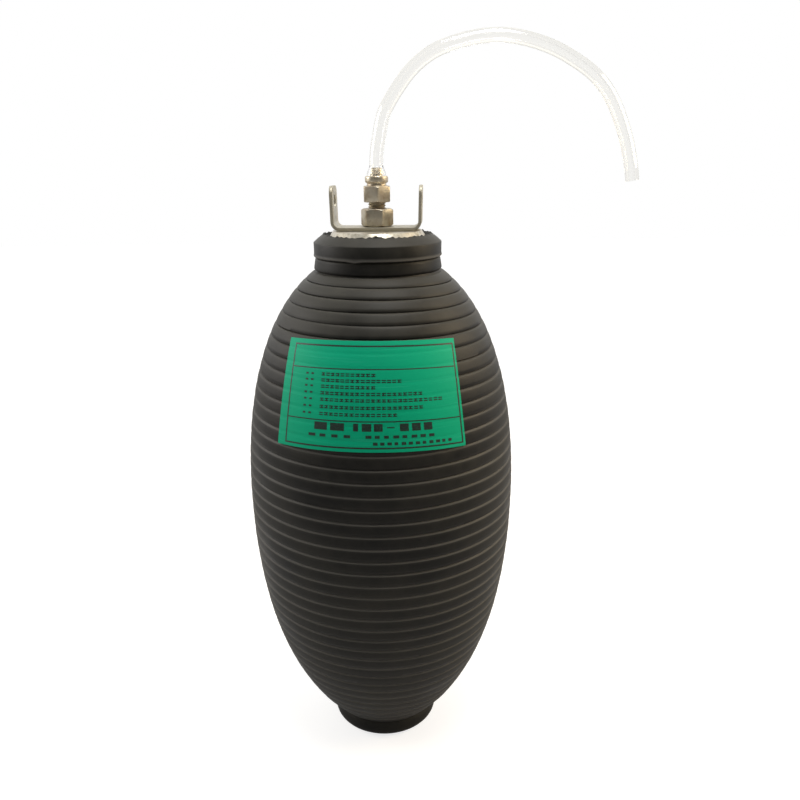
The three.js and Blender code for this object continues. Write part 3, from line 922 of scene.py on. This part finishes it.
@dataclass
class Collar:
    """The rubber ring round the mouth: band, crown, ragged flash and the recess for the end plate."""

    underside: float = 377.05
    radius: float = 45.0
    groove_depth: float = 1.0
    crown_start: float = 386.5
    crown_height: float = 6.0
    crown_width: float = 6.8
    rim_width: float = 2.4
    recess_floor: float = 389.3
    mouth_radius: float = 12.0
    joint_azimuth: float = -20.0
    joint_dip: float = 0.9
    flash_height: float = 1.1
    columns: int = 288
    seed: int = 5

    def flash(self, azimuth: float) -> float:
        """Finds how high the moulding flash stands on the crest at an azimuth."""
        draw = random.Random(self.seed)
        waves = [(draw.uniform(0.5, 1.0), draw.uniform(0, 360), lobe) for lobe in (13, 31, 37, 47, 59)]
        sway = sum(size * math.sin(math.radians(lobe * azimuth + start)) for size, start, lobe in waves)
        notch = 1.5 * bump_at(azimuth, -1.5, 4.0)
        return self.flash_height * max(0.05, 0.3 + 0.24 * sway) + notch

    def build(self, rubber: bpy.types.Material) -> None:
        """Makes the ring and dresses it."""
        rim, base, deep = self.radius - self.crown_width, self.underside, self.groove_depth
        corner = self.crown_start + 0.9
        top = self.crown_start + self.crown_height
        crown = [(self.radius, corner - 0.35), (self.radius - 0.3, corner + 0.2)]
        crown += [(blend(self.radius - 0.9, rim + 0.7, share), blend(corner + 0.7, top - 0.25, share ** 0.9))
                  for share in (0.0, 0.35, 0.7, 1.0)]
        # Radius, height, share of the joint's dip and share of the flash
        rows = [(self.mouth_radius, base, 0, 0), (self.radius - deep - 2, base, 0, 0),
                (self.radius - deep, base, 0.4, 0), (self.radius - deep * 0.55, base + 0.45, 1, 0),
                (self.radius + 0.1, base + 0.9, 1, 0), (self.radius + 0.25, base + 1.5, 0.8, 0),
                (self.radius + 0.05, base + 2.4, 0.3, 0), (self.radius - 0.1, base + 3.2, 0, 0),
                *[(radius, height, 0, 0) for radius, height in crown],
                (rim + 0.2, top - 0.05, 0, 0.35), (rim - 0.1, top, 0, 1), (rim - 0.5, top, 0, 1),
                (rim - 0.9, top - 0.9, 0, 0),
                (rim - self.rim_width, self.recess_floor + 0.4, 0, 0),
                (rim - self.rim_width - 0.5, self.recess_floor, 0, 0),
                (self.mouth_radius, self.recess_floor, 0, 0)]
        edge = [self.flash(360 * i / self.columns - 180) for i in range(self.columns)]
        rings: list[Ring] = []
        for radius, height, dips, flashes in rows:
            ring = []
            for i in range(self.columns):
                azimuth = 360 * i / self.columns - 180
                dip = min(self.joint_dip * dips * bump_at(azimuth, self.joint_azimuth, 5.0), height - base)
                ring.append(polar(radius, azimuth, height - dip + flashes * edge[i]))
            rings.append(ring)
        shell = Shell()
        shell.add_rings(rings, looped=True)
        # Painted highlight on the band's rolled lower lip, where it catches the light
        pale = {4: 0.35, 5: 0.6, 6: 0.2}
        lips = [pale.get(row, 0.0) for row in range(len(rows))]
        place(mark_lips(shell, lips, self.columns, "collar_ring", 40), rubber, Slot.RUBBER, "collar")


@dataclass
class EndPlate:
    """The steel disc in the mouth."""

    base: float = 389.6
    thickness: float = 5.4
    radius: float = 31.4
    skirt: float = 2.0
    hole_radius: float = 6.5
    edge: float = 0.6

    def build(self, metal: bpy.types.Material) -> None:
        """Makes the plate and dresses it."""
        top, edge = self.base + self.thickness, self.edge
        foot = self.radius + self.skirt
        profile = [(self.hole_radius, self.base), (foot - edge, self.base), (foot, self.base + edge),
                   (foot, self.base + 1.9), (foot - 0.3, self.base + 2.3),
                   *arc((self.radius - edge, top - edge), (edge, edge), 35, 90, 4), (self.hole_radius, top)]
        shell = Shell()
        shell.add_rings(turned_rings(profile, 160), looped=True)
        place(shell.to_piece("end_plate_disc", 50), metal, Slot.STEEL, "end_plate")


@dataclass
class LiftingBracket:
    """Flat bar bent to a U, with an eye in each leg and a hole for the stem."""

    base: float = 395.3
    span: float = 62.6
    width: float = 25.0
    thickness: float = 2.2
    bend_radius: float = 4.0
    height: float = 30.0
    splay: float = 1.2
    corner: float = 6.0
    eye_radius: float = 4.25
    eye_from_tip: float = 10.6
    hole_radius: float = 6.5
    turn: float = -5.0
    bend_steps: int = 12

    @property
    def flat_half(self) -> float:
        """Half the flat foot, up to the start of the bend."""
        return self.span / 2 - self.bend_radius - self.thickness

    @property
    def bend_length(self) -> float:
        """Length of the bend on the bar's middle line."""
        return (self.bend_radius + self.thickness / 2) * math.radians(90 - self.splay)

    def bent(self, spot: Vector) -> Vector:
        """Moves a point of the flat blank to its place on the bent bar.

        Args:
            spot: Point of the blank, its X along the bar and its Z from the underside.

        Returns:
            The point on the bracket, before it is set in place.
        """
        sign = 1.0 if spot.x >= 0 else -1.0
        along = abs(spot.x) - self.flat_half
        if along <= 0:
            return spot.copy()
        full = math.radians(90 - self.splay)
        turned = full * min(along / self.bend_length, 1.0)
        past = max(along - self.bend_length, 0.0)
        outer = self.bend_radius + self.thickness
        reach = outer - spot.z
        x = self.flat_half + reach * math.sin(turned) + past * math.cos(turned)
        z = outer - reach * math.cos(turned) + past * math.sin(turned)
        return Vector((sign * x, spot.y, z))

    def blank(self) -> bpy.types.Object:
        """Makes the flat blank with its rounded ends and holes."""
        outer = self.bend_radius + self.thickness
        lean = math.radians(self.splay)
        leg = (self.height - outer + outer * math.sin(lean)) / math.cos(lean)
        half = self.flat_half + self.bend_length + leg
        side, corner = self.width / 2, self.corner
        outline = []
        for x, y, start in ((half - corner, side - corner, 0), (corner - half, side - corner, 90),
                            (corner - half, corner - side, 180), (half - corner, corner - side, 270)):
            outline.extend(arc((x, y), (corner, corner), start, start + 90, 8))
        shell = Shell()
        shell.add_rings([[Vector((x, y, z)) for x, y in outline] for z in (0, self.thickness)])
        count = len(outline)
        shell.faces += [tuple(range(count)), tuple(range(count, 2 * count))]
        piece = shell.to_piece("bracket_bar")
        eye = half - self.eye_from_tip
        for x, radius in ((0, self.hole_radius), (eye, self.eye_radius), (-eye, self.eye_radius)):
            drill = Shell()
            drill.add_rings([[Vector((x + radius * math.cos(a), radius * math.sin(a), z))
                              for a in (math.tau * i / 48 for i in range(48))] for z in (-2, 5)], capped=True)
            tool = drill.to_piece("drill")
            cut = piece.modifiers.new("hole", "BOOLEAN")
            cut.operation, cut.solver, cut.object = "DIFFERENCE", "EXACT", tool
            apply_modifiers(piece)
            bpy.data.objects.remove(tool)
        return piece

    def build(self, metal: bpy.types.Material) -> None:
        """Bends the blank, sets it on the end plate and dresses it."""
        piece = self.blank()
        round_edges(piece, 0.3, 40)
        work = bmesh.new()
        work.from_mesh(piece.data)
        for sign in (-1, 1):
            for step in range(self.bend_steps + 1):
                x = sign * (self.flat_half + self.bend_length * step / self.bend_steps) * MM
                geometry = [*work.verts, *work.edges, *work.faces]
                bmesh.ops.bisect_plane(work, geom=geometry, dist=1e-7, plane_co=(x, 0, 0), plane_no=(1, 0, 0))
        setting = Matrix.Translation((0, 0, self.base)) @ Matrix.Rotation(math.radians(self.turn), 4, "Z")
        for corner in work.verts:
            corner.co = (setting @ self.bent(corner.co / MM)) * MM
        work.to_mesh(piece.data)
        work.free()
        soften(piece, 25)
        place(piece, metal, Slot.STEEL, "lifting_bracket")


@dataclass
class Hexagon:
    """A spanner hexagon with turned chamfers at both ends."""

    flats: float
    base: float
    height: float
    turn: float
    columns: int = 96
    corner_wear: float = 0.12

    @property
    def face_radius(self) -> float:
        """Radius of the flat faces inside the chamfers."""
        return self.flats * 0.48

    def rim(self, azimuth: float) -> float:
        """Finds the hexagon's radius at an azimuth in degrees."""
        off = (azimuth - self.turn) % 60 - 30
        sharp = self.flats / 2 / math.cos(math.radians(off))
        return min(sharp, self.flats / math.sqrt(3) - self.corner_wear)

    def rings(self) -> list[Ring]:
        """Makes the rings from the lower face to the upper face."""
        top = self.base + self.height
        angles = [self.turn + 360 * i / self.columns for i in range(self.columns)]

        def drop(azimuth: float) -> float:
            """Finds how far the chamfer falls at an azimuth."""
            return (self.rim(azimuth) - self.face_radius) * math.tan(math.radians(30))

        return [
            [polar(self.face_radius, a, self.base) for a in angles],
            [polar(self.rim(a), a, self.base + drop(a)) for a in angles],
            [polar(self.rim(a), a, top - drop(a)) for a in angles],
            [polar(self.face_radius, a, top) for a in angles],
        ]

    def circle(self, radius: float, height: float) -> Ring:
        """Makes a round ring with the hexagon's columns."""
        return [polar(radius, self.turn + 360 * i / self.columns, height) for i in range(self.columns)]


@dataclass
class LockNut:
    """The lower hexagon, which clamps the bracket on the end plate."""

    hexagon: Hexagon
    bore: float = 6.5

    def build(self, metal: bpy.types.Material) -> None:
        """Makes the nut and dresses it."""
        base, top = self.hexagon.base, self.hexagon.base + self.hexagon.height
        circle = self.hexagon.circle
        shell = Shell()
        shell.add_rings([circle(self.bore, base + 0.7), circle(self.bore + 0.7, base), *self.hexagon.rings(),
                         circle(self.bore + 0.7, top), circle(self.bore, top - 0.7)], looped=True)
        piece = shell.to_piece("lock_nut_hexagon", 20)
        round_edges(piece, 0.14, 28)
        place(piece, metal, Slot.NICKEL, "lock_nut")


@dataclass
class InletStem:
    """The hollow threaded stem."""

    base: float = 365.4
    head_radius: float = 11.0
    head_height: float = 5.0
    radius: float = 6.2
    bore: float = 2.2
    top: float = 419.0
    thread_start: float = 398.0
    thread_pitch: float = 1.75
    thread_depth: float = 0.85

    def thread(self, azimuth: float, height: float) -> float:
        """Finds the thread's radius: a right-hand helix with rounded crests."""
        phase = (height / self.thread_pitch + azimuth / 360) % 1.0
        crest = abs(phase - 0.5) * 2
        return self.radius - self.thread_depth * min(max((crest - 0.12) / 0.76, 0.0), 1.0)

    def build(self, metal: bpy.types.Material) -> None:
        """Makes the stem and dresses it."""
        columns, step = 64, 0.2
        head = self.base + self.head_height
        plain = [(self.bore, self.base), (self.head_radius - 0.8, self.base),
                 (self.head_radius, self.base + 0.8), (self.head_radius, head), (self.radius, head),
                 (self.radius, self.thread_start - 0.3)]
        rings = turned_rings(plain, columns)
        count = int((self.top - 1.0 - self.thread_start) / step)
        for row in range(count + 1):
            height = self.thread_start + row * step
            rings.append([polar(self.thread(360 * i / columns, height), 360 * i / columns, height)
                          for i in range(columns)])
        rings += turned_rings([(self.radius - 0.9, self.top), (self.bore, self.top)], columns)
        shell = Shell()
        shell.add_rings(rings, looped=True)
        place(shell.to_piece("threaded_stem", 30), metal, Slot.NICKEL, "inlet_stem")


@dataclass
class HoseNipple:
    """Hexagon, neck, collar and barb, turned in one piece and screwed on the stem."""

    hexagon: Hexagon
    socket: float = 6.5
    socket_end: float = 420.5
    bore: float = 2.2
    neck_radius: float = 6.8
    neck_height: float = 1.8
    collar_radius: float = 8.0
    collar_height: float = 4.7
    barb: tuple[Spot, ...] = ((4.3, 0.0), (4.3, 0.9), (5.15, 1.25), (4.1, 2.95), (4.5, 3.3), (3.5, 5.4))

    def build(self, metal: bpy.types.Material) -> None:
        """Makes the nipple and dresses it."""
        circle = self.hexagon.circle
        neck = self.hexagon.base + self.hexagon.height
        low = neck + self.neck_height
        high = low + self.collar_height
        collar = [*arc((self.collar_radius - 1.3, low + 1.3), (1.3, 1.3), -75, 0, 4),
                  *arc((self.collar_radius - 1.1, high - 1.1), (1.1, 1.1), 0, 80, 4)]
        rings = [circle(self.socket, self.hexagon.base), *self.hexagon.rings(),
                 circle(self.neck_radius + 0.4, neck), circle(self.neck_radius, neck + 0.4),
                 circle(self.neck_radius - 0.1, low - 0.2)]
        rings += [circle(radius, height) for radius, height in collar]
        rings += [circle(radius, high + height) for radius, height in self.barb]
        rings += [circle(self.bore, high + self.barb[-1][1]), circle(self.bore, self.socket_end),
                  circle(self.socket, self.socket_end)]
        shell = Shell()
        shell.add_rings(rings, looped=True)
        piece = shell.to_piece("barbed_nipple", 20)
        round_edges(piece, 0.12, 28)
        place(piece, metal, Slot.NICKEL, "hose_nipple")


@dataclass
class ClearHose:
    """The clear hose, stretched over the barb, that arches over to the right and ends in a plain cut."""

    exit_height: float = 431.8
    cuff_length: float = 6.2
    radius: float = 4.7
    bore: float = 3.15
    length: float = 284.0
    sides: int = 32
    # Centre line above the cuff: distance to the right and height
    route: tuple[Spot, ...] = (
        (0, 0), (0.2, 6), (0.9, 12), (2, 18.1), (3.5, 26), (5.9, 34.4), (13.9, 47.8), (25.4, 62.1),
        (39.5, 72.3), (55, 77.85), (71.7, 81.15), (85.8, 81.55), (100, 79.55), (117.2, 74.4), (131.8, 67.3),
        (146.7, 57.4), (157.6, 45.4), (165.9, 30.4), (172.1, 13.9), (176.4, -3), (177.8, -11.5))
    # Outer and inner radius over the barb, by height above the collar's seat
    cuff: tuple[tuple[float, float, float], ...] = (
        (0.0, 6.45, 5.4), (0.5, 6.62, 5.4), (1.5, 6.5, 5.38), (2.6, 6.1, 4.95), (3.8, 5.5, 4.75),
        (4.9, 5.05, 4.2), (5.8, 4.82, 3.75), (6.8, 4.72, 3.3), (8.0, 4.7, 3.15))

    def centre_line(self) -> list[Vector]:
        """Runs one smooth curve through the route, from the collar's seat to the cut end.

        Returns:
            Points about 1.4 mm apart.
        """
        start = self.exit_height + self.cuff_length
        knots = [Vector((0, 0, self.exit_height)), Vector((0, 0, self.exit_height + self.cuff_length / 2))]
        knots += [Vector((x, 0, start + z)) for x, z in self.route]
        ends = [knots[0] * 2 - knots[1], *knots, knots[-1] * 2 - knots[-2]]
        line = [knots[0]]
        for a, b, c, d in zip(ends, ends[1:], ends[2:], ends[3:]):
            t1 = (b - a).length ** 0.5
            t2 = t1 + (c - b).length ** 0.5
            t3 = t2 + (d - c).length ** 0.5
            steps = max(2, round((c - b).length / 1.4))
            for i in range(1, steps + 1):
                t = blend(t1, t2, i / steps)
                low = (b - a) / t1 - (c - a) / t2 + (c - b) / (t2 - t1)
                high = (c - b) / (t2 - t1) - (d - b) / (t3 - t1) + (d - c) / (t3 - t2)
                u, span = (t - t1) / (t2 - t1), t2 - t1
                line.append(b * (2 * u ** 3 - 3 * u ** 2 + 1) + low * span * (u ** 3 - 2 * u ** 2 + u)
                            + c * (3 * u ** 2 - 2 * u ** 3) + high * span * (u ** 3 - u ** 2))
        return line

    def radii(self, along: float) -> Spot:
        """Finds the outer and inner radius at a length from the collar's seat."""
        if along >= self.cuff[-1][0]:
            return self.radius, self.bore
        for (s0, o0, i0), (s1, o1, i1) in zip(self.cuff, self.cuff[1:]):
            if along <= s1:
                share = (along - s0) / (s1 - s0)
                return blend(o0, o1, share), blend(i0, i1, share)
        return self.radius, self.bore

    def build(self, vinyl: bpy.types.Material) -> None:
        line = self.centre_line()
        outer, inner, along = [], [], 0.0
        for i, spot in enumerate(line):
            along += (spot - line[i - 1]).length if i else 0.0
            run = (line[min(i + 1, len(line) - 1)] - line[max(i - 1, 0)]).normalized()
            across = run.cross(Vector((0, 1, 0)))
            out, bore = self.radii(along)
            for radius, rings in ((out, outer), (bore, inner)):
                rings.append([spot + (across * math.cos(a) + Vector((0, 1, 0)) * math.sin(a)) * radius
                              for a in (math.tau * k / self.sides for k in range(self.sides))])
        shell = Shell()
        shell.add_rings([*outer, *reversed(inner)], looped=True)
        piece = shell.to_piece("clear_hose", 60)
        place(piece, vinyl, Slot.HOSE, "hose")
        log.info("hose is %.1f mm long", along)


class Mark(Enum):
    """Kinds of print on the label, by the height of the mark in millimetres."""

    FINE = 2.0
    SMALL = 1.9
    BOLD = 4.9


@dataclass
class PrintedLabel:
    """The green film on the front, printed with a frame, rules and plain bars."""

    outline: BodyOutline
    thickness: float = 0.4
    height: float = 70.8
    from_shoulder: float = 47.0
    top_width: float = 118.0
    bottom_width: float = 135.0
    corner_drop: float = 2.6
    azimuth: float = -5.2
    lift: float = 0.36
    dent: float = 0.12
    ink_height: float = 0.05
    seed: int = 3

    def spot(self, across: float, up: float, lift: float) -> Vector:
        """Finds a point on or over the label.

        Args:
            across: Place from the left edge, -0.5, to the right edge, 0.5.
            up: Place from the bottom edge, 0, to the top edge, 1.
            lift: Distance above the label's upper side in millimetres.

        Returns:
            The point in millimetres.
        """
        width = blend(self.bottom_width, self.top_width, up)
        along = (self.outline.length - self.from_shoulder - self.height * (1 - up)
                 - self.corner_drop * (2 * across) ** 2)
        rise = self.lift + self.thickness + lift - self.dent * self.outline.near_seam(along, 1.1)
        radius, height = self.outline.at(along, -rise)
        centre, _ = self.outline.at(along)
        return polar(radius, self.azimuth + math.degrees(across * width / centre), height)

    def slab(self, shell: Shell, across: Spot, up: Spot, low: float, high: float, cell: float) -> None:
        """Adds a thin closed patch that follows the label.

        Args:
            shell: Mesh to add to.
            across: Its left and right edge, as in spot.
            up: Its lower and upper edge, as in spot.
            low: Its underside above the label's upper side, in millimetres.
            high: Its upper side above the label's upper side, in millimetres.
            cell: Size of its cells in millimetres.
        """
        columns = max(1, math.ceil((across[1] - across[0]) * self.top_width / cell / 2))
        rows = max(1, math.ceil((up[1] - up[0]) * self.height / cell))

        def side(lift: float) -> list[Ring]:
            """Makes one side of the patch."""
            return [[self.spot(blend(*across, i / columns), blend(*up, j / rows), lift)
                     for i in range(columns + 1)] for j in range(rows + 1)]

        shell.add_slab(side(high), side(low))

    def bars(self) -> list[tuple[Spot, Spot]]:
        """Lays out the frame, the rules and the bars, as pairs of edges across and up."""
        left, right, low, high = -0.447, 0.487, 0.030, 0.957
        wide, tall = 0.0085, 0.0145
        bars = [((left, right), (low, low + tall)), ((left, right), (high - tall, high)),
                ((left, left + wide), (low + tall, high - tall)),
                ((right - wide, right), (low + tall, high - tall))]
        bars += [((left + wide, right - wide), (level - 0.005, level + 0.005)) for level in (0.742, 0.277)]
        draw = random.Random(self.seed)
        tall = Mark.FINE.value / self.height
        # Seven lines of small marks, two dots before each: level up the label and number of marks
        for level, count in ((0.690, 11), (0.636, 16), (0.580, 11), (0.521, 20), (0.463, 24), (0.398, 20),
                             (0.335, 15)):
            bars += [((start, start + 0.016), (level - tall * 0.3, level + tall * 0.3))
                     for start in (-0.345, -0.311)]
            for i in range(count):
                start = -0.248 + i * 0.0265
                end = start + draw.uniform(0.019, 0.0215)
                bars.append(((start, end), (level + tall * 0.16, level + tall * 0.5)))
                bars.append(((start, end), (level - tall * 0.5, level - tall * 0.14)))
                if draw.random() < 0.6:
                    post = blend(start, end, draw.uniform(0.2, 0.55))
                    bars.append(((post, post + 0.006), (level - tall * 0.14, level + tall * 0.16)))
        # One line of heavy bars
        tall = Mark.BOLD.value / self.height / 2
        for start, end in ((-0.272, -0.203), (-0.186, -0.115), (-0.070, -0.046), (-0.028, 0.018),
                           (0.030, 0.072), (0.155, 0.198), (0.214, 0.258), (0.274, 0.318)):
            bars.append(((start, end), (0.224 - tall, 0.224 + tall)))
        bars.append(((0.093, 0.130), (0.219, 0.229)))
        # Two lines of small bars below it
        tall = Mark.SMALL.value / self.height / 2
        for level, first, last, step in ((0.140, -0.302, -0.075, 0.062), (0.140, -0.010, 0.345, 0.044),
                                         (0.078, 0.025, 0.430, 0.034)):
            start = first
            while start < last - 0.01:
                bars.append(((start, start + step * draw.uniform(0.5, 0.66)), (level - tall, level + tall)))
                start += step
        return bars

    def build(self, film: bpy.types.Material, ink: bpy.types.Material) -> None:
        """Makes the film and its print and dresses them."""
        sheet = Shell()
        self.slab(sheet, (-0.5, 0.5), (0.0, 1.0), -self.thickness, 0.0, 0.55)
        place(sheet.to_piece("label_film", 60), film, Slot.LABEL, "label")
        marks = Shell()
        for across, up in self.bars():
            self.slab(marks, across, up, -self.ink_height, self.ink_height, 0.55)
        place(marks.to_piece("label_print", 60), ink, Slot.LABEL)


def dress_hidden(nodes: dict[str, bpy.types.Object]) -> None:
    """Gives the CAD nodes inside the mouth their finishes.

    Args:
        nodes: CAD nodes by name.
    """
    seal = MouldedSealRubber("nitrile_seal").build()
    flange = WorkedMetal("zinc_plated_flange", base="#aaa9a4").build()
    for name, material in (("stem_seal", seal), ("flange_gasket", seal), ("nipple_seal", seal),
                           ("inner_flange", flange)):
        mesh = nodes[name].data
        mesh.materials.clear()
        mesh.materials.append(material)
        log.info("%s: finish %s", name, material.name)


def main() -> None:
    """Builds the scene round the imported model."""
    logging.basicConfig(level=logging.INFO, format="%(name)s: %(message)s")
    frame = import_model()
    studio = Studio()
    studio.add_camera()
    ClearHose().build(ClearVinyl("clear_pvc").build())

    outline = BodyOutline()
    rubber = VulcanisedRubber("vulcanised_rubber").build()
    Bladder(outline).build(rubber)
    Collar().build(rubber)
    film, ink = PrintedFilm("green_vinyl_film").build(), ScreenInk("black_screen_ink").build()
    PrintedLabel(outline).build(film, ink)

    EndPlate().build(WorkedMetal("turned_steel", base="#c6c0b0", stain="#7d7259", roughness=0.34,
                                 stain_share=0.85, mark_mm=4.0, bare=0.7).build())
    LiftingBracket().build(WorkedMetal("rolled_steel", base="#b9b3a1", stain="#938b75", roughness=0.44,
                                                  bare=0.6).build())
    nickel = WorkedMetal("nickel_plated_brass", base="#cbc2ae", stain="#8c7050", roughness=0.34,
                         stain_share=0.8, mark_mm=7.0, bare=0.75).build()
    LockNut(Hexagon(flats=20.0, base=397.8, height=12.0, turn=19.0)).build(nickel)
    InletStem().build(nickel)
    HoseNipple(Hexagon(flats=18.0, base=414.0, height=11.0, turn=2.0)).build(nickel)
    dress_hidden(frame["nodes"])
    studio.build()


if __name__ == "__main__":
    main()
